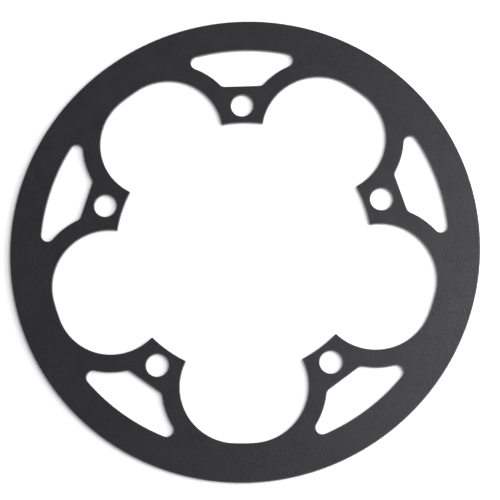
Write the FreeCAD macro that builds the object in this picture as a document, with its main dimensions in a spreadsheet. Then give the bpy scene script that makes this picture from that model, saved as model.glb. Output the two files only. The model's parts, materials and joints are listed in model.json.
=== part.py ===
import FreeCAD, Part
import math
import os

import Sketcher

# A flat chainring guard for a bicycle crank, cut from one sheet of aluminium.
# A plain round rim carries bolt arms that point inwards. Wide scallops clear the space between the arms,
# and a window above each bolt hole leaves two curved struts between the arm and the rim.
# The back face lies on z = 0, the crank's axis is Z, and one arm lies on +Y.

# Driving sizes in millimetres, with the spread in degrees
SIZES = [
    ("rim_diameter", 209.4, "outer diameter, which covers the chainring's teeth"),
    ("plate_thickness", 2, "thickness of the sheet"),
    ("arm_count", 5, "arms, each with one bolt hole and one window"),
    ("bolt_circle_diameter", 130, "circle through the bolt holes' centres"),
    ("bolt_hole_diameter", 10.1, "bore for a 10 mm chainring bolt"),
    ("tip_land", 3, "metal between a bolt hole and the arm's end"),
    ("arm_width", 18, "narrowest distance between the scallops on either side of an arm"),
    ("scallop_spread", 6, "angle at the crank's axis between a scallop's two round lobes"),
    ("scallop_rim_width", 17.2, "metal between a scallop and the outside of the rim"),
    ("window_land", 4, "metal between a bolt hole and the window's straight edge"),
    ("window_rim_width", 13.7, "metal between a window and the outside of the rim"),
    ("strut_width", 8, "metal between a window and the scallop beside it"),
    ("window_corner_radius", 3, "corner left by the window's cutter"),
    ("edge_break", 0.3, "chamfer on every edge of both faces"),
]

# Sizes that follow from the driving ones
DERIVED = [
    ("tip_radius", "=(bolt_circle_diameter - bolt_hole_diameter) / 2 - tip_land", "arm ends"),
    ("bolt_centre", "=bolt_circle_diameter / 2", "bolt hole's distance from the axis"),
    ("half_pitch", "=180 / arm_count", "angle from an arm to the next scallop"),
    ("floor_radius", "=rim_diameter / 2 - scallop_rim_width", "scallop's outermost reach"),
    ("lobe_angle", "=half_pitch - scallop_spread / 2", "angle from an arm to the nearest lobe's centre"),
    ("lobe_reach", "=(floor_radius + arm_width / 2) / (1 + sin(lobe_angle))", "lobe centres' distance from the axis"),
    ("lobe_radius", "=floor_radius - lobe_reach", "round end of a scallop"),
    ("lobe_offset", "=lobe_reach * sin(scallop_spread / 2)", "lobe centre's distance from the scallop's axis"),
    ("strut_centre_x", "=lobe_reach * sin(lobe_angle)", "lobe centre's distance from the arm's axis"),
    ("strut_centre_y", "=lobe_reach * cos(lobe_angle)", "lobe centre's height along the arm"),
    ("strut_radius", "=lobe_radius + strut_width", "window's side, about the lobe's centre"),
    ("base_height", "=(bolt_circle_diameter + bolt_hole_diameter) / 2 + window_land", "window's straight edge"),
    ("crown_radius", "=rim_diameter / 2 - window_rim_width", "window's outer edge"),
    ("corner_radius", "=min(window_corner_radius; (crown_radius - base_height) / 4)", "corner the window can hold"),
]

# Sketcher's own numbers for the places on a curve, and for its two axes, which start at the origin
START, END, CENTRE = range(1, 4)
LEVEL_AXIS, UPRIGHT_AXIS = range(-1, -3, -1)
ORIGIN = (LEVEL_AXIS, START)

HALF_TURN = math.pi
QUARTER_TURN = math.pi / 2


def make_sheet(doc):
    """Write the driving sizes as plain numbers and the derived ones as formulas."""
    sheet = doc.addObject("Spreadsheet::Sheet", "sizes")
    for row, (alias, content, meaning) in enumerate(SIZES + DERIVED, start=1):
        sheet.set(f"A{row}", str(content))
        sheet.setAlias(f"A{row}", alias)
        sheet.set(f"B{row}", meaning)
    doc.recompute()
    return sheet


def origin_feature(body, role):
    """One of the body's own base planes or axes."""
    return next(item for item in body.Origin.OriginFeatures if item.Role == role)


def add_sketch(body, name):
    """An empty sketch on the plate's back face."""
    sketch = body.newObject("Sketcher::SketchObject", name)
    sketch.AttachmentSupport = (origin_feature(body, "XY_Plane"), [""])
    sketch.MapMode = "FlatFace"
    return sketch


def drive(sketch, kind, places, alias):
    """Add a dimension that is bound to one cell of the sheet."""
    value = getattr(sketch.Document.sizes, alias)
    index = sketch.addConstraint(Sketcher.Constraint(kind, *places, value))
    sketch.renameConstraint(index, alias)
    sketch.setExpression(f"Constraints.{alias}", f"sizes.{alias}")


def fix(sketch, kind, *places):
    """Add a constraint without a dimension."""
    sketch.addConstraint(Sketcher.Constraint(kind, *places))


def join_smoothly(sketch, joints):
    """Join curves end to end with a common tangent."""
    for first, first_end, second, second_end in joints:
        fix(sketch, "Tangent", first, first_end, second, second_end)


def point(x, y):
    return FreeCAD.Vector(x, y, 0)


def circle(centre, radius):
    return Part.Circle(centre, FreeCAD.Vector(0, 0, 1), radius)


def arc(centre, radius, start, end):
    """Counter-clockwise arc between two angles in radians."""
    return Part.ArcOfCircle(circle(centre, radius), start, end)


def heading(start, end):
    """Angle in radians of the line from one point to another."""
    return math.atan2(end.y - start.y, end.x - start.x)


def sketch_ring(body, sizes):
    """The rim's outside, and the circle that the arms end on."""
    sketch = add_sketch(body, "ring_outline")
    rim = sketch.addGeometry(circle(point(0, 0), sizes.rim_diameter / 2))
    tips = sketch.addGeometry(circle(point(0, 0), sizes.tip_radius))
    fix(sketch, "Coincident", rim, CENTRE, *ORIGIN)
    fix(sketch, "Coincident", tips, CENTRE, *ORIGIN)
    drive(sketch, "Diameter", (rim,), "rim_diameter")
    drive(sketch, "Radius", (tips,), "tip_radius")
    return sketch


def sketch_scallop(body, sizes):
    """A curved slot about the crank's axis, turned half a pitch so that it lies between two arms."""
    sketch = add_sketch(body, "scallop_outline")
    sketch.AttachmentOffset = FreeCAD.Placement(point(0, 0), FreeCAD.Rotation(sizes.half_pitch, 0, 0))
    sketch.setExpression("AttachmentOffset.Rotation.Angle", "sizes.half_pitch")

    spread = math.radians(sizes.scallop_spread)
    right = QUARTER_TURN - spread / 2
    left = QUARTER_TURN + spread / 2
    right_centre = point(sizes.lobe_offset, sizes.lobe_reach * math.sin(right))
    left_centre = point(-sizes.lobe_offset, sizes.lobe_reach * math.sin(left))
    floor = sketch.addGeometry(arc(point(0, 0), sizes.floor_radius, right, left))
    left_lobe = sketch.addGeometry(arc(left_centre, sizes.lobe_radius, left, left + HALF_TURN))
    inner = sketch.addGeometry(arc(point(0, 0), sizes.lobe_reach - sizes.lobe_radius, right, left))
    right_lobe = sketch.addGeometry(arc(right_centre, sizes.lobe_radius, right - HALF_TURN, right))

    join_smoothly(sketch, [
        (floor, END, left_lobe, START),
        (left_lobe, END, inner, END),
        (inner, START, right_lobe, START),
        (right_lobe, END, floor, START),
    ])
    fix(sketch, "Coincident", floor, CENTRE, *ORIGIN)
    fix(sketch, "Coincident", inner, CENTRE, *ORIGIN)
    fix(sketch, "Horizontal", left_lobe, CENTRE, right_lobe, CENTRE)
    drive(sketch, "Radius", (floor,), "floor_radius")
    drive(sketch, "Radius", (right_lobe,), "lobe_radius")
    drive(sketch, "DistanceX", (*ORIGIN, right_lobe, CENTRE), "lobe_offset")
    return sketch


def sketch_window(body, sizes):
    """The opening above a bolt hole: a straight base, two hollow sides along the struts and a round crown."""
    sketch = add_sketch(body, "window_outline")
    axis = point(0, 0)
    strut = point(sizes.strut_centre_x, sizes.strut_centre_y)
    corner = sizes.corner_radius

    # The corner centres lie one corner radius inside the base, the crown and the side
    side_reach = sizes.strut_radius + corner
    crown_reach = sizes.crown_radius - corner
    base_corner_y = sizes.base_height + corner
    base_corner_x = strut.x - math.sqrt(side_reach ** 2 - (base_corner_y - strut.y) ** 2)
    base_corner = point(base_corner_x, base_corner_y)
    cosine = (strut.Length ** 2 + crown_reach ** 2 - side_reach ** 2) / (2 * strut.Length * crown_reach)
    crown_heading = heading(axis, strut) + math.acos(cosine)
    crown_corner = point(crown_reach * math.cos(crown_heading), crown_reach * math.sin(crown_heading))

    # Headings of the right half; the left half mirrors them
    base_turn = heading(base_corner, strut)
    crown_turn = heading(crown_corner, strut)
    strut_left = point(-strut.x, strut.y)
    base_corner_left = point(-base_corner.x, base_corner.y)
    crown_corner_left = point(-crown_corner.x, crown_corner.y)

    base = sketch.addGeometry(Part.LineSegment(
        point(-base_corner.x, sizes.base_height), point(base_corner.x, sizes.base_height)))
    right_base = sketch.addGeometry(arc(base_corner, corner, -QUARTER_TURN, base_turn))
    right_side = sketch.addGeometry(arc(
        strut, sizes.strut_radius, crown_turn + HALF_TURN, base_turn + HALF_TURN))
    right_crown = sketch.addGeometry(arc(crown_corner, corner, crown_turn, crown_heading))
    crown = sketch.addGeometry(arc(axis, sizes.crown_radius, crown_heading, HALF_TURN - crown_heading))
    left_crown = sketch.addGeometry(arc(
        crown_corner_left, corner, HALF_TURN - crown_heading, HALF_TURN - crown_turn))
    left_side = sketch.addGeometry(arc(strut_left, sizes.strut_radius, -base_turn, -crown_turn))
    left_base = sketch.addGeometry(arc(
        base_corner_left, corner, HALF_TURN - base_turn, HALF_TURN + QUARTER_TURN))

    join_smoothly(sketch, [
        (base, END, right_base, START),
        (right_base, END, right_side, END),
        (right_side, START, right_crown, START),
        (right_crown, END, crown, START),
        (crown, END, left_crown, START),
        (left_crown, END, left_side, END),
        (left_side, START, left_base, START),
        (left_base, END, base, START),
    ])
    fix(sketch, "Horizontal", base)
    fix(sketch, "Coincident", crown, CENTRE, *ORIGIN)
    fix(sketch, "Symmetric", left_side, CENTRE, right_side, CENTRE, UPRIGHT_AXIS)
    fix(sketch, "Equal", right_side, left_side)
    for other in (right_base, left_base, left_crown):
        fix(sketch, "Equal", right_crown, other)
    drive(sketch, "Radius", (right_crown,), "corner_radius")
    drive(sketch, "Radius", (right_side,), "strut_radius")
    drive(sketch, "Radius", (crown,), "crown_radius")
    drive(sketch, "DistanceX", (*ORIGIN, right_side, CENTRE), "strut_centre_x")
    drive(sketch, "DistanceY", (*ORIGIN, right_side, CENTRE), "strut_centre_y")
    drive(sketch, "DistanceY", (*ORIGIN, base, START), "base_height")
    return sketch


def sketch_bolt_hole(body, sizes):
    """One bolt hole, on the arm's axis."""
    sketch = add_sketch(body, "bolt_hole_outline")
    bore = sketch.addGeometry(circle(point(0, sizes.bolt_centre), sizes.bolt_hole_diameter / 2))
    fix(sketch, "PointOnObject", bore, CENTRE, UPRIGHT_AXIS)
    drive(sketch, "Diameter", (bore,), "bolt_hole_diameter")
    drive(sketch, "DistanceY", (*ORIGIN, bore, CENTRE), "bolt_centre")
    return sketch


def cut_through(body, name, sketch):
    """Cut a sketch upwards through the whole sheet, and make sure that it took metal away."""
    volume_before = body.Tip.Shape.Volume
    pocket = body.newObject("PartDesign::Pocket", name)
    pocket.Profile = sketch
    pocket.Type = "ThroughAll"
    pocket.Reversed = True
    body.Document.recompute()
    if pocket.Shape.Volume >= volume_before:
        raise RuntimeError(f"{name} cuts nothing")
    return pocket


def is_flat_face(face):
    """True for the plate's front and back, which face along Z."""
    return isinstance(face.Surface, Part.Plane) and abs(face.normalAt(0, 0).z) > 0.5


def build_guard_plate(doc, sizes):
    body = doc.addObject("PartDesign::Body", "guard_plate")

    ring = body.newObject("PartDesign::Pad", "ring")
    ring.Profile = sketch_ring(body, sizes)
    ring.setExpression("Length", "sizes.plate_thickness")
    doc.recompute()

    cuts = [
        cut_through(body, "scallop", sketch_scallop(body, sizes)),
        cut_through(body, "window", sketch_window(body, sizes)),
        cut_through(body, "bolt_hole", sketch_bolt_hole(body, sizes)),
    ]
    arms = body.newObject("PartDesign::PolarPattern", "arms")
    arms.Originals = cuts
    arms.Axis = (origin_feature(body, "Z_Axis"), [""])
    arms.Angle = 360
    arms.setExpression("Occurrences", "sizes.arm_count")
    body.Tip = arms
    doc.recompute()

    flat_faces = [f"Face{i}" for i, face in enumerate(arms.Shape.Faces, start=1) if is_flat_face(face)]
    broken_edges = body.newObject("PartDesign::Chamfer", "broken_edges")
    broken_edges.Base = (arms, flat_faces)
    broken_edges.setExpression("Size", "sizes.edge_break")
    body.Tip = broken_edges
    doc.recompute()
    return body


def check(doc, body):
    """Stop before anything is written if a feature failed or the plate isn't one sound solid."""
    for item in doc.Objects:
        if "Invalid" in item.State or "Error" in item.State:
            raise RuntimeError(f"{item.Name} failed: {item.State}")
    if body.Shape.isNull() or not body.Shape.isValid():
        raise RuntimeError(f"{body.Label} has no valid shape")
    if len(body.Shape.Solids) != 1:
        raise RuntimeError(f"{body.Label} is {len(body.Shape.Solids)} solids")


document = FreeCAD.newDocument("chainring_guard")
guard_plate = build_guard_plate(document, make_sheet(document))
check(document, guard_plate)

os.makedirs("parts", exist_ok=True)
guard_plate.Shape.exportStep(f"parts/{guard_plate.Label}.step")
print(guard_plate.Label, "volume in mm3:", round(guard_plate.Shape.Volume, 1))
print(guard_plate.Label, "box in mm:", guard_plate.Shape.BoundBox)
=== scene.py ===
# %% [markdown]
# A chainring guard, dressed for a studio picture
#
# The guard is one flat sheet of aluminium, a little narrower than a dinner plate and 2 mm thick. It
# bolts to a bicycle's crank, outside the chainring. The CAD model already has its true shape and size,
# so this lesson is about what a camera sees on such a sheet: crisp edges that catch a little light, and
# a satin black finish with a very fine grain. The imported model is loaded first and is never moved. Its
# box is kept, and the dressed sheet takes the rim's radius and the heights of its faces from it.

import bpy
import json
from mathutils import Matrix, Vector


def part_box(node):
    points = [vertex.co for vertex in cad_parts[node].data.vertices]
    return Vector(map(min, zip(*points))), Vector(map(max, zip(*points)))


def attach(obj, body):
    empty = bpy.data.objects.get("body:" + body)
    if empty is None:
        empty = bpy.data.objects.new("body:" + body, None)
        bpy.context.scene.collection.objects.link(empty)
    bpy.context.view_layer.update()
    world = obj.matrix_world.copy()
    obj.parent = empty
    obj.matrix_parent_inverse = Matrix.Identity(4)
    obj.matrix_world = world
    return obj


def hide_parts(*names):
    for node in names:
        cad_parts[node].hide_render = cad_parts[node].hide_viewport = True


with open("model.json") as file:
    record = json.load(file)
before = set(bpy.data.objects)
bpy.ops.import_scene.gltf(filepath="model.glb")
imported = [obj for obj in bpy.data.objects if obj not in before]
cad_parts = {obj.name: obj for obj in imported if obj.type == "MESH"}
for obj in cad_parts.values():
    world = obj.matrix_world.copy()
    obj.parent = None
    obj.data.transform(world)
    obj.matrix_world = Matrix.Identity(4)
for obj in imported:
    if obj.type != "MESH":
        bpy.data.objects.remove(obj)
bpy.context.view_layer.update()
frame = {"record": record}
sheet_low, sheet_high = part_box("guard_plate")

# %% [markdown]
# The outline as arcs
#
# On the real guard one cutter path runs round the rim, one round the arms and the scallops between
# them, and one round each window and each bolt hole. These paths are made of arcs, with one straight
# run in each window. The CAD mesh could be used as it is, but its edges are plain chamfers and its
# curves have few points. Here each arc is kept as a centre, a radius and two angles, and it knows on
# which side the metal lies. Moving the outline into the metal is then exact, which the rounded edges
# need later: a circle with metal inside it shrinks, and a circle with metal outside it grows, while
# centres and angles stay the same.

# %% Sizes of the sheet
import math

MM = 0.001
SCALLOP_RIM_WIDTH = 17.2 * MM
WINDOW_RIM_WIDTH = 13.7 * MM
TIP_LAND = 3 * MM
WINDOW_LAND = 4 * MM

mounts = {mount["name"]: mount["dims"] for mount in frame["record"]["mounts"]}
bolt_circle = mounts["bolt_circle"]
arm_count = bolt_circle["count"]
bolt_reach = bolt_circle["pcd_mm"] * MM / 2
bolt_radius = bolt_circle["hole_r_mm"] * MM

rim_radius = sheet_high.x
floor_radius = rim_radius - SCALLOP_RIM_WIDTH
crown_radius = rim_radius - WINDOW_RIM_WIDTH
tip_radius = bolt_reach - bolt_radius - TIP_LAND
base_height = bolt_reach + bolt_radius + WINDOW_LAND
round_lines = (rim_radius, floor_radius, tip_radius)
print("rim, scallop floors and arm ends, radius in mm:",
      [round(radius / MM, 2) for radius in round_lines])

# %% An arc that knows where the metal is
from dataclasses import dataclass

from mathutils import Matrix, Vector

SAG = 0.004 * MM
FEWEST_STEPS = 2


@dataclass
class Bend:
    """Part of a circle on the outline, traced from its start angle to its end angle."""
    centre: Vector
    radius: float
    start: float
    end: float
    metal_inside: bool = False

    def turned(self, angle):
        """The same arc on another arm."""
        centre = Matrix.Rotation(angle, 2) @ self.centre
        return Bend(centre, self.radius, self.start + angle, self.end + angle, self.metal_inside)

    def mirrored(self):
        """The same arc on the other side of the arm, traced in the same sense round the opening."""
        centre = Vector((-self.centre.x, self.centre.y))
        return Bend(centre, self.radius, math.pi - self.end, math.pi - self.start, self.metal_inside)

    def trace(self, inset):
        """Points along the arc, moved into the metal, each with the direction out of the metal."""
        side = 1 if self.metal_inside else -1
        sweep = self.end - self.start
        widest_step = 2 * math.acos(1 - SAG / self.radius)
        steps = max(FEWEST_STEPS, math.ceil(abs(sweep) / widest_step))
        for step in range(steps + 1):
            angle = self.start + sweep * step / steps
            spoke = Vector((math.cos(angle), math.sin(angle)))
            yield self.centre + spoke * (self.radius - side * inset), spoke * side


axis = Vector((0, 0))
rim = [Bend(axis, rim_radius, 0, math.tau, metal_inside=True)]
print("chords leave an arc by at most", round(SAG / MM, 4), "mm, which takes",
      len(list(rim[0].trace(0))) - 1, "steps round the rim")

# %% [markdown]
# Scallops, arm ends and windows
#
# A scallop is a short curved slot about the crank's axis with two large round lobes. The lobe is as
# large as it can be between the arm and the rim, so its radius follows from those two. The arm's end
# lies on a circle about the axis, and the sharp corner there is only knocked off. The window above the
# bolt hole has hollow sides that keep the strut beside the lobe equally wide all along. All these
# could be drawn by eye as curves, but worked out they meet without a kink. Only the right half of the
# upright arm is worked out, and the left half is its mirror.

# %% The lobe of a scallop
UP = math.pi / 2
ARM_WIDTH = 18 * MM
SCALLOP_SPREAD = math.radians(6)


def polar(radius, angle):
    """A point at a distance from the axis, in a direction."""
    return Vector((radius * math.cos(angle), radius * math.sin(angle)))


pitch = math.tau / arm_count
lobe_angle = pitch / 2 - SCALLOP_SPREAD / 2
lobe_reach = (floor_radius + ARM_WIDTH / 2) / (1 + math.sin(lobe_angle))
lobe_radius = floor_radius - lobe_reach
lobe_heading = UP - lobe_angle
lobe_centre = polar(lobe_reach, lobe_heading)
print("lobe radius in mm:", round(lobe_radius / MM, 3))

# %% The arm's end and the scallop
TIP_CORNER = 0.4 * MM


def heading(start, end):
    """Angle of the line from one point to another."""
    return math.atan2(end.y - start.y, end.x - start.x)


def corner_turn(side, opposite, other):
    """Angle between two sides of a triangle, from its three lengths."""
    return math.acos((side ** 2 + other ** 2 - opposite ** 2) / (2 * side * other))


corner_reach = tip_radius + TIP_CORNER
corner_heading = lobe_heading + corner_turn(lobe_reach, lobe_radius + TIP_CORNER, corner_reach)
corner_centre = polar(corner_reach, corner_heading)
corner_start = heading(corner_centre, lobe_centre)

lobe = Bend(lobe_centre, lobe_radius, lobe_heading, heading(lobe_centre, corner_centre))
corner = Bend(corner_centre, TIP_CORNER, corner_start, corner_heading - math.pi, metal_inside=True)
arm_end = Bend(axis, tip_radius, corner_heading, math.pi - corner_heading)
scallop_floor = Bend(axis, floor_radius, UP + lobe_angle, UP + lobe_angle + SCALLOP_SPREAD)
one_arm = [lobe, corner, arm_end, corner.mirrored(), lobe.mirrored(), scallop_floor]
print("width of an arm's end in mm:", round(2 * corner_centre.x / MM, 2))

# %% Windows
STRUT_WIDTH = 8 * MM
WINDOW_CORNER = 3 * MM

strut_radius = lobe_radius + STRUT_WIDTH
side_reach = strut_radius + WINDOW_CORNER

base_corner_y = base_height + WINDOW_CORNER
base_corner_x = lobe_centre.x - math.sqrt(side_reach ** 2 - (base_corner_y - lobe_centre.y) ** 2)
base_corner_centre = Vector((base_corner_x, base_corner_y))
crown_reach = crown_radius - WINDOW_CORNER
crown_heading = lobe_heading + corner_turn(lobe_reach, side_reach, crown_reach)
crown_corner_centre = polar(crown_reach, crown_heading)
base_turn = heading(base_corner_centre, lobe_centre)
crown_turn = heading(crown_corner_centre, lobe_centre)

base_corner = Bend(base_corner_centre, WINDOW_CORNER, -UP, base_turn)
window_side = Bend(lobe_centre, strut_radius, base_turn + math.pi, crown_turn + math.pi,
                   metal_inside=True)
crown_corner = Bend(crown_corner_centre, WINDOW_CORNER, crown_turn, crown_heading)
crown = Bend(axis, crown_radius, crown_heading, math.pi - crown_heading)
half_window = [base_corner, window_side, crown_corner]
window = half_window + [crown] + [bend.mirrored() for bend in reversed(half_window)]
print("window height in mm:", round((crown_radius - base_height) / MM, 2))

# %% All the paths round the sheet
bolt_hole = [Bend(Vector((0, bolt_reach)), bolt_radius, 0, math.tau)]
arm_turns = [arm * pitch for arm in range(arm_count)]
inner_path = [bend.turned(angle) for angle in arm_turns for bend in one_arm]
paths = [rim, inner_path]
for angle in arm_turns:
    paths.append([bend.turned(angle) for bend in window])
    paths.append([bend.turned(angle) for bend in bolt_hole])
print(len(paths), "closed paths with", sum(len(path) for path in paths), "arcs")

# %% [markdown]
# From paths to a sheet with rounded edges
#
# After the cutting, a guard is deburred, which rounds every edge a little, and that narrow lip is what
# draws a thin light line round the sheet. A bevel modifier would make it, but it slips where many short
# edges meet. Because the outline can be moved into the metal exactly, the edge is stacked up instead:
# the same paths are laid at several heights, each moved in by what a quarter circle asks, and
# neighbours are joined with strips of faces. Cut walls and lips are told apart here, because each gets
# a finish of its own later.

# %% Heights of the stack
EDGE_RADIUS = 0.3 * MM
EDGE_STEPS = 4
RIGHT_ANGLE = math.pi / 2


def edge_levels():
    """Inset, height and tilt for each level, from the front face down to the back face."""
    quarter = [RIGHT_ANGLE * step / EDGE_STEPS for step in range(EDGE_STEPS + 1)]
    front = [(EDGE_RADIUS * (1 - math.sin(t)), EDGE_RADIUS * (1 - math.cos(t)), t) for t in quarter]
    stack = [(inset, sheet_high.z - drop, RIGHT_ANGLE - t) for inset, drop, t in front]
    stack += [(inset, sheet_low.z + drop, t - RIGHT_ANGLE) for inset, drop, t in reversed(front)]
    return stack


levels = edge_levels()
print(len(levels), "levels, with edges rounded to", round(EDGE_RADIUS / MM, 2), "mm")

# %% Points along a path
TOUCHING = 0.001 * MM


def path_points(path, inset):
    """The path's points and outward directions, without the doubles where one arc meets the next."""
    found = []
    for bend in path:
        for spot, outward in bend.trace(inset):
            if not found or (spot - found[-1][0]).length > TOUCHING:
                found.append((spot, outward))
    if (found[0][0] - found[-1][0]).length <= TOUCHING:
        found.pop()
    return found


print("points round each path:", [len(path_points(path, 0)) for path in paths])

# %% A ring of points at every level
import bmesh
import bpy


def lay_path(mesh, path, normals):
    """One ring of vertices for each level of a path."""
    rings = []
    for inset, height, tilt in levels:
        ring = []
        for spot, outward in path_points(path, inset):
            ring.append(mesh.verts.new((spot.x, spot.y, height)))
            normals.append(outward.to_3d() * math.cos(tilt) + Vector((0, 0, math.sin(tilt))))
        rings.append(ring)
    return rings


sheet = bmesh.new()
normals = []
stacks = [lay_path(sheet, path, normals) for path in paths]
print(len(sheet.verts), "points in", sum(len(rings) for rings in stacks), "rings")

# %% Strips between the rings
CUT_FINISH = 1
LIP_FINISH = 2
WALL = EDGE_STEPS


def join_rings(mesh, upper, lower, finish):
    """A strip of four-sided faces between two rings."""
    count = len(upper)
    for here in range(count):
        there = (here + 1) % count
        face = mesh.faces.new((upper[here], lower[here], lower[there], upper[there]))
        face.material_index = finish


for rings in stacks:
    for level in range(len(rings) - 1):
        finish = CUT_FINISH if level == WALL else LIP_FINISH
        join_rings(sheet, rings[level], rings[level + 1], finish)
print(len(sheet.faces), "faces on the edges")

# %% [markdown]
# The two flat faces
#
# Front and back are the rolled sheet itself, so they are truly flat, with an opening in the middle, five
# windows and five bolt holes. A single polygon can't have holes, and a grid would leave steps along the
# curves. So the outermost rings on each side are handed to a triangle fill, which joins them and leaves
# the openings open. Averaged normals would bulge over its long thin triangles. Each point gets the
# normal that its arc gave instead, so the flat stays flat in reflections and the lip turns over smoothly.

# %% Fill the two faces
FACE_FINISH = 0
FRONT_LEVEL = 0
BACK_LEVEL = -1


def boundary(rings):
    """The edges that run round one level of every path."""
    found = []
    for ring in rings:
        neighbours = ring[1:] + ring[:1]
        found += [sheet.edges.get(pair) for pair in zip(ring, neighbours)]
    return found


for level in (FRONT_LEVEL, BACK_LEVEL):
    edges = boundary([rings[level] for rings in stacks])
    filled = bmesh.ops.triangle_fill(sheet, edges=edges, use_beauty=True)
    faces = [item for item in filled["geom"] if isinstance(item, bmesh.types.BMFace)]
    for face in faces:
        face.material_index = FACE_FINISH
    print("filled one face of the sheet with", len(faces), "triangles")

bmesh.ops.recalc_face_normals(sheet, faces=sheet.faces)
for face in sheet.faces:
    face.smooth = True

# %% Make the object
guard_mesh = bpy.data.meshes.new("satin_black_guard")
sheet.to_mesh(guard_mesh)
open_edges = [edge for edge in sheet.edges if not edge.is_manifold]
volume = sheet.calc_volume()
sheet.free()
guard_mesh.normals_split_custom_set_from_vertices(normals)

guard = bpy.data.objects.new("satin_black_guard", guard_mesh)
bpy.context.collection.objects.link(guard)
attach(guard, "root")
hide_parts("guard_plate")
print("volume in mm3:", round(volume / MM ** 3, 1), "with", len(open_edges), "open edges")

# %% [markdown]
# A grain that every finish shares
#
# The sheet is blasted with fine beads before it is anodised. Close up its faces are a field of tiny
# dimples, and from a distance only a faint mottling is left, because the dimples scatter a little more
# light in one place than in the next. An image texture would repeat, so the grain is made of noise in
# the object's own space. It is built once, as a node group, and each finish uses it with its own
# values. It puts out three things that change over the surface: small specks, wide clouds, and the
# height of the dimples.

# %% A node group and its sockets
blasted_grain = bpy.data.node_groups.new("blasted_grain", "ShaderNodeTree")
sockets = blasted_grain.interface
sockets.new_socket("Place", in_out="INPUT", socket_type="NodeSocketVector")
sockets.new_socket("Grain size", in_out="INPUT", socket_type="NodeSocketFloat")
for name in ("Speck", "Cloud", "Height"):
    sockets.new_socket(name, in_out="OUTPUT", socket_type="NodeSocketFloat")
grain_given = blasted_grain.nodes.new("NodeGroupInput").outputs
grain_result = blasted_grain.nodes.new("NodeGroupOutput").inputs
print("sockets of", blasted_grain.name, [socket.name for socket in sockets.items_tree])

# %% How many grains to the metre
CLOUDS_PER_SPECK = 0.06
DIMPLES_PER_SPECK = 2.5


def maths(tree, operation, *inputs):
    """A maths node, with a link for each socket and a value for each number."""
    node = tree.nodes.new("ShaderNodeMath")
    node.operation = operation
    for socket, given in zip(node.inputs, inputs):
        if isinstance(given, (int, float)):
            socket.default_value = given
        else:
            tree.links.new(given, socket)
    return node.outputs[0]


specks_per_metre = maths(blasted_grain, "DIVIDE", 1.0, grain_given["Grain size"])
clouds_per_metre = maths(blasted_grain, "MULTIPLY", specks_per_metre, CLOUDS_PER_SPECK)
dimples_per_metre = maths(blasted_grain, "MULTIPLY", specks_per_metre, DIMPLES_PER_SPECK)
print("a cloud is as wide as", round(1 / CLOUDS_PER_SPECK, 1), "specks")

# %% Specks, clouds and dimples
DIMPLE_DEPTH = 0.5


def add(tree, kind, **values):
    """A node with some of its inputs set by name."""
    node = tree.nodes.new(kind)
    for name, value in values.items():
        node.inputs[name.replace("_", " ")].default_value = value
    return node


def grain_texture(kind, per_metre, **values):
    """One texture of the grain, read at the place that the group is given."""
    texture = add(blasted_grain, kind, **values)
    blasted_grain.links.new(grain_given["Place"], texture.inputs["Vector"])
    blasted_grain.links.new(per_metre, texture.inputs["Scale"])
    return texture.outputs


speck = grain_texture("ShaderNodeTexNoise", specks_per_metre, Detail=2.0, Roughness=0.6)["Fac"]
cloud = grain_texture("ShaderNodeTexNoise", clouds_per_metre, Detail=3.0, Roughness=0.5)["Fac"]
dimple = grain_texture("ShaderNodeTexVoronoi", dimples_per_metre, Randomness=1.0)["Distance"]
dimple_height = maths(blasted_grain, "MULTIPLY", dimple, DIMPLE_DEPTH)
relief = maths(blasted_grain, "ADD", speck, dimple_height)
for name, value in (("Speck", speck), ("Cloud", cloud), ("Height", relief)):
    blasted_grain.links.new(value, grain_result[name])
print("the grain has", len(blasted_grain.nodes), "nodes")

# %% [markdown]
# Three finishes: satin face, cut wall and a lip painted with a highlight
#
# Anodised and dyed, the blasted faces are a satin black with no direction of their own. The beads hardly
# reach the cut walls, so those are smoother, with faint streaks across the sheet that the cutter left,
# and they are given a paler grey than the faces. The lip is painted a dark grey, which is a painted
# highlight: it lightens the thin line that the rounded edge catches. One material with masks for the
# edges could hold all three. But the faces of the mesh were told apart when they were laid, so three
# plain materials do the same and are easier to read. In each, colour and roughness follow the grain
# within a narrow range, and the dimples bend the light through a bump.

# %% The grain in a material
NOISE_LOW = 0.25
NOISE_HIGH = 0.75


def grain_for(tree, grain_size, stretch):
    """The grain in the object's own space. Stretch pulls it along the axes, as a cutter does."""
    coordinates = tree.nodes.new("ShaderNodeTexCoord")
    pull = add(tree, "ShaderNodeMapping", Scale=stretch)
    grain = tree.nodes.new("ShaderNodeGroup")
    grain.node_tree = blasted_grain
    grain.inputs["Grain size"].default_value = grain_size
    tree.links.new(coordinates.outputs["Object"], pull.inputs["Vector"])
    tree.links.new(pull.outputs["Vector"], grain.inputs["Place"])
    return grain.outputs


def spread(tree, value, low, high):
    """Spread the middle of a noise over a range of values."""
    node = add(tree, "ShaderNodeMapRange", From_Min=NOISE_LOW, From_Max=NOISE_HIGH,
               To_Min=low, To_Max=high)
    tree.links.new(value, node.inputs["Value"])
    return node.outputs["Result"]


print("the noise between", NOISE_LOW, "and", NOISE_HIGH, "is spread over each range")

# %% The blasted face
EVEN = (1, 1, 1)
DENT_DEPTH = 0.25
FACE_BLACKS = ((0.002, 0.002, 0.0025, 1), (0.009, 0.0088, 0.0112, 1))


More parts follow.
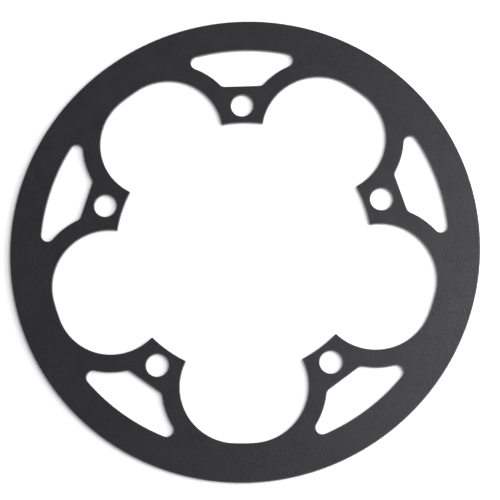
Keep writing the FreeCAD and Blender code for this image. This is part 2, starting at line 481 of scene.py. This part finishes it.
def anodised(name, grain_size, stretch, tones, roughness, gloss, dents):
    """A satin finish, with a colour and a roughness that vary with the grain, and a dented surface."""
    finish = bpy.data.materials.new(name)
    finish.use_nodes = True
    tree = finish.node_tree
    shader = tree.nodes["Principled BSDF"]
    shader.inputs["Specular IOR Level"].default_value = gloss
    grain = grain_for(tree, grain_size, stretch)

    dark, pale = tones
    tone = tree.nodes.new("ShaderNodeMix")
    tone.data_type = "RGBA"
    tone.inputs["A"].default_value = dark
    tone.inputs["B"].default_value = pale
    both = maths(tree, "ADD", grain["Speck"], grain["Cloud"])
    mean = maths(tree, "DIVIDE", both, 2)
    tree.links.new(spread(tree, mean, 0.0, 1.0), tone.inputs["Factor"])
    tree.links.new(tone.outputs["Result"], shader.inputs["Base Color"])
    tree.links.new(spread(tree, grain["Speck"], *roughness), shader.inputs["Roughness"])

    bump = add(tree, "ShaderNodeBump", Strength=dents, Distance=grain_size * DENT_DEPTH)
    tree.links.new(grain["Height"], bump.inputs["Height"])
    tree.links.new(bump.outputs["Normal"], shader.inputs["Normal"])
    return finish


blasted_face = anodised("blasted_face", grain_size=0.6 * MM, stretch=EVEN, tones=FACE_BLACKS,
                        roughness=(0.27, 0.41), gloss=0.35, dents=0.5)
print(blasted_face.name, "has", len(blasted_face.node_tree.nodes), "nodes")

# %% The cut wall and the lip
ACROSS_THE_SHEET = (1, 1, 0.2)
CUT_GREYS = ((0.09, 0.09, 0.095, 1), (0.18, 0.18, 0.19, 1))
# The lip's grey is a painted highlight along every edge.
LIP_HIGHLIGHT_GREYS = ((0.03, 0.03, 0.032, 1), (0.06, 0.06, 0.064, 1))

cut_wall = anodised("cut_wall", grain_size=0.5 * MM, stretch=ACROSS_THE_SHEET, tones=CUT_GREYS,
                    roughness=(0.18, 0.28), gloss=0.5, dents=0.1)
# This finish paints a highlight on the lip with its paler grey.
lip_painted_highlight = anodised("lip_painted_highlight", grain_size=0.5 * MM, stretch=EVEN, tones=LIP_HIGHLIGHT_GREYS,
                      roughness=(0.25, 0.4), gloss=0.5, dents=0.3)
finishes = {FACE_FINISH: blasted_face, CUT_FINISH: cut_wall, LIP_FINISH: lip_painted_highlight}
for number in sorted(finishes):
    guard_mesh.materials.append(finishes[number])
print("finishes:", [finish.name for finish in guard_mesh.materials])

# %% [markdown]
# The studio
#
# The guard lies on a white table under soft light. A long, low softbox stands close on the right. It
# gives the narrow soft shadow on the left of each edge, and because it is close, its light fades across
# the table and the shadow outside the left of the rim shows most. A second one, high on the right,
# shows in the black face, which fades from grey on the right to nearly black on the left. A weak one at
# the back lifts the top of the rim a little, and a pale room fills in the rest. One strong lamp would
# be simpler, but its shadow would be hard and the face would look flat.

# %% The table
TABLE_SIZE = 12
TABLE_WHITE = (0.8, 0.8, 0.8, 1)
TABLE_ROUGHNESS = 0.9
TABLE_GLOSS = 0.2

table_sheet = bmesh.new()
bmesh.ops.create_grid(table_sheet, x_segments=1, y_segments=1, size=TABLE_SIZE / 2)
table_mesh = bpy.data.meshes.new("white_table")
table_sheet.to_mesh(table_mesh)
table_sheet.free()
table = bpy.data.objects.new("white_table", table_mesh)
table.location.z = sheet_low.z
bpy.context.collection.objects.link(table)

white = bpy.data.materials.new("white_table")
white.use_nodes = True
white_shader = white.node_tree.nodes["Principled BSDF"]
white_shader.inputs["Base Color"].default_value = TABLE_WHITE
white_shader.inputs["Roughness"].default_value = TABLE_ROUGHNESS
white_shader.inputs["Specular IOR Level"].default_value = TABLE_GLOSS
table_mesh.materials.append(white)
print("table", TABLE_SIZE, "m across")

# %% Softboxes
COOL_WHITE = (0.979, 0.97, 1.0)


def from_above(azimuth, elevation, distance):
    """A place in the studio, from two angles in degrees and a distance in metres."""
    turn, rise = math.radians(azimuth), math.radians(elevation)
    level = math.cos(rise) * distance
    return Vector((level * math.cos(turn), level * math.sin(turn), math.sin(rise) * distance))


def softbox(name, azimuth, elevation, distance, width, height, power):
    """A soft light that leans towards the guard and that the camera doesn't see."""
    lamp = bpy.data.lights.new(name, "AREA")
    lamp.shape = "RECTANGLE"
    lamp.size = width
    lamp.size_y = height
    lamp.energy = power
    lamp.color = COOL_WHITE
    box = bpy.data.objects.new(name, lamp)
    box.location = from_above(azimuth, elevation, distance)
    box.rotation_mode = "QUATERNION"
    box.rotation_quaternion = (-box.location).to_track_quat("-Z", "Y")
    box.visible_camera = False
    bpy.context.collection.objects.link(box)
    return box


softboxes = [
    softbox("long_softbox", azimuth=5, elevation=30, distance=0.5, width=0.7, height=0.25, power=4.2),
    softbox("high_softbox", azimuth=0, elevation=62, distance=0.9, width=0.5, height=0.4, power=5.6),
    softbox("back_softbox", azimuth=80, elevation=45, distance=0.9, width=0.7, height=0.5, power=0.6),
]
print("softboxes:", [box.name for box in softboxes])

# %% The room
ROOM_BRIGHTNESS = 0.57

room = bpy.data.worlds.new("pale_room")
room.use_nodes = True
room_light = room.node_tree.nodes["Background"]
room_light.inputs["Color"].default_value = (*COOL_WHITE, 1)
room_light.inputs["Strength"].default_value = ROOM_BRIGHTNESS
bpy.context.scene.world = room
bpy.context.scene.view_settings.view_transform = "Standard"
print("room:", room.name)

# %% [markdown]
# The camera
#
# The picture was taken from a little in front and to the right, almost straight down, with a long lens.
# Those angles were found by laying the guard's outline over the picture. A camera can be aimed with a
# constraint, but one that looks nearly straight down has no natural upright. So its top edge is turned
# towards +Y here, and then by a small roll.

# %% Camera
LENS = 140.345
SENSOR = 36
AIM = Vector((3.042 * MM, -1.753 * MM, sheet_high.z))
CAMERA_AZIMUTH = -71.615
CAMERA_ELEVATION = 77.247
CAMERA_DISTANCE = 864.755 * MM
ROLL = math.radians(-0.4466)

camera_data = bpy.data.cameras.new("camera")
camera_data.lens = LENS
camera_data.sensor_width = SENSOR
camera = bpy.data.objects.new("camera", camera_data)
bpy.context.collection.objects.link(camera)

view = -from_above(CAMERA_AZIMUTH, CAMERA_ELEVATION, 1)
right = view.cross(Vector((0, 1, 0))).normalized()
above = right.cross(view)
facing = Matrix((right, above, -view)).transposed().to_4x4()
stand = Matrix.Translation(AIM - view * CAMERA_DISTANCE)
camera.matrix_world = stand @ facing @ Matrix.Rotation(ROLL, 4, "Z")
bpy.context.scene.camera = camera
print("camera at", [round(value, 3) for value in camera.matrix_world.translation])

# %% Sizes
import json
